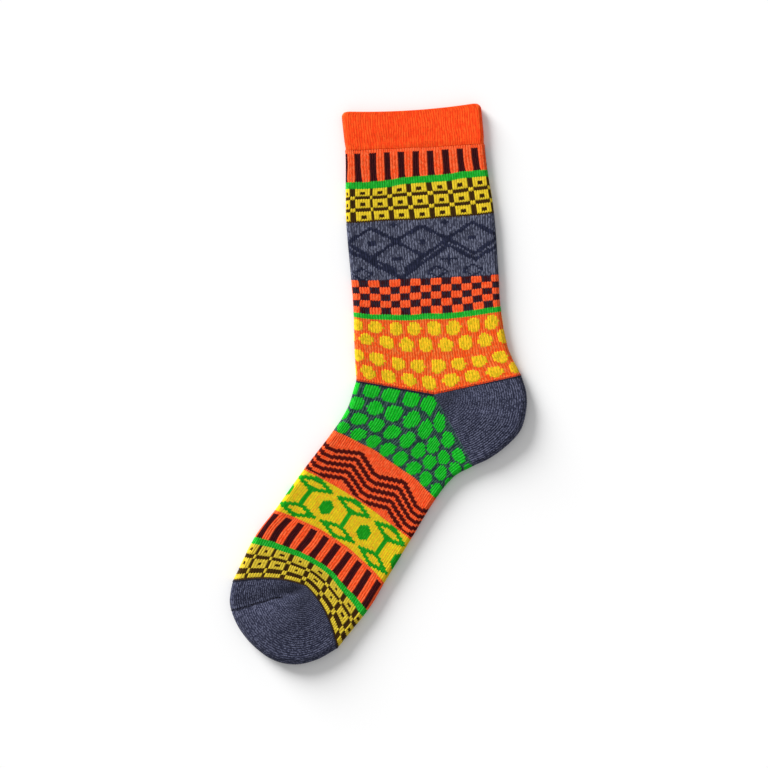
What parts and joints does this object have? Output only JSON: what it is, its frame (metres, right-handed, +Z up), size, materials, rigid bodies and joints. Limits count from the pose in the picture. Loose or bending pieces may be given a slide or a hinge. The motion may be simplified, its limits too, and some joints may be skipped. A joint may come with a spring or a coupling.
{
  "type": "sock",
  "caption": "Knitted crew sock laid flat on its side, with a turned cuff welt, patterned leg and foot, and plain marl heel and toe pockets.",
  "frame": {"origin": "on the surface the sock lies on, under the middle of its bounding box", "axes": "+Z up from the surface, +Y towards the cuff, +X towards the heel"},
  "size_m": [0.1785, 0.3366, 0.0089],
  "materials": {
    "orange_welt_knit": "matt single-colour rib-like knit in bright orange yarn",
    "leg_pattern_knit": "matt jacquard knit of orange and maroon bars, a green line, yellow and brown squares and navy diamonds on grey marl",
    "ankle_pattern_knit": "matt jacquard knit of orange and maroon checks, a green line and yellow dots on orange",
    "grey_marl_knit": "matt plain knit in blue-grey marl yarn",
    "arch_pattern_knit": "matt jacquard knit of green dots on slate, and maroon zigzags on orange",
    "instep_pattern_knit": "matt jacquard knit of green dots in green hexagons, with leaves, on yellow",
    "foot_pattern_knit": "matt jacquard knit of orange and maroon bars, a green line, and yellow and brown squares"
  },
  "bodies": {
    "root": {"cuff_welt": "orange_welt_knit", "leg_upper": "leg_pattern_knit", "leg_lower": "ankle_pattern_knit", "heel_pocket": "grey_marl_knit", "foot_arch": "arch_pattern_knit", "foot_middle": "instep_pattern_knit", "foot_front": "foot_pattern_knit", "toe_pocket": "grey_marl_knit"}
  },
  "joints": []
}
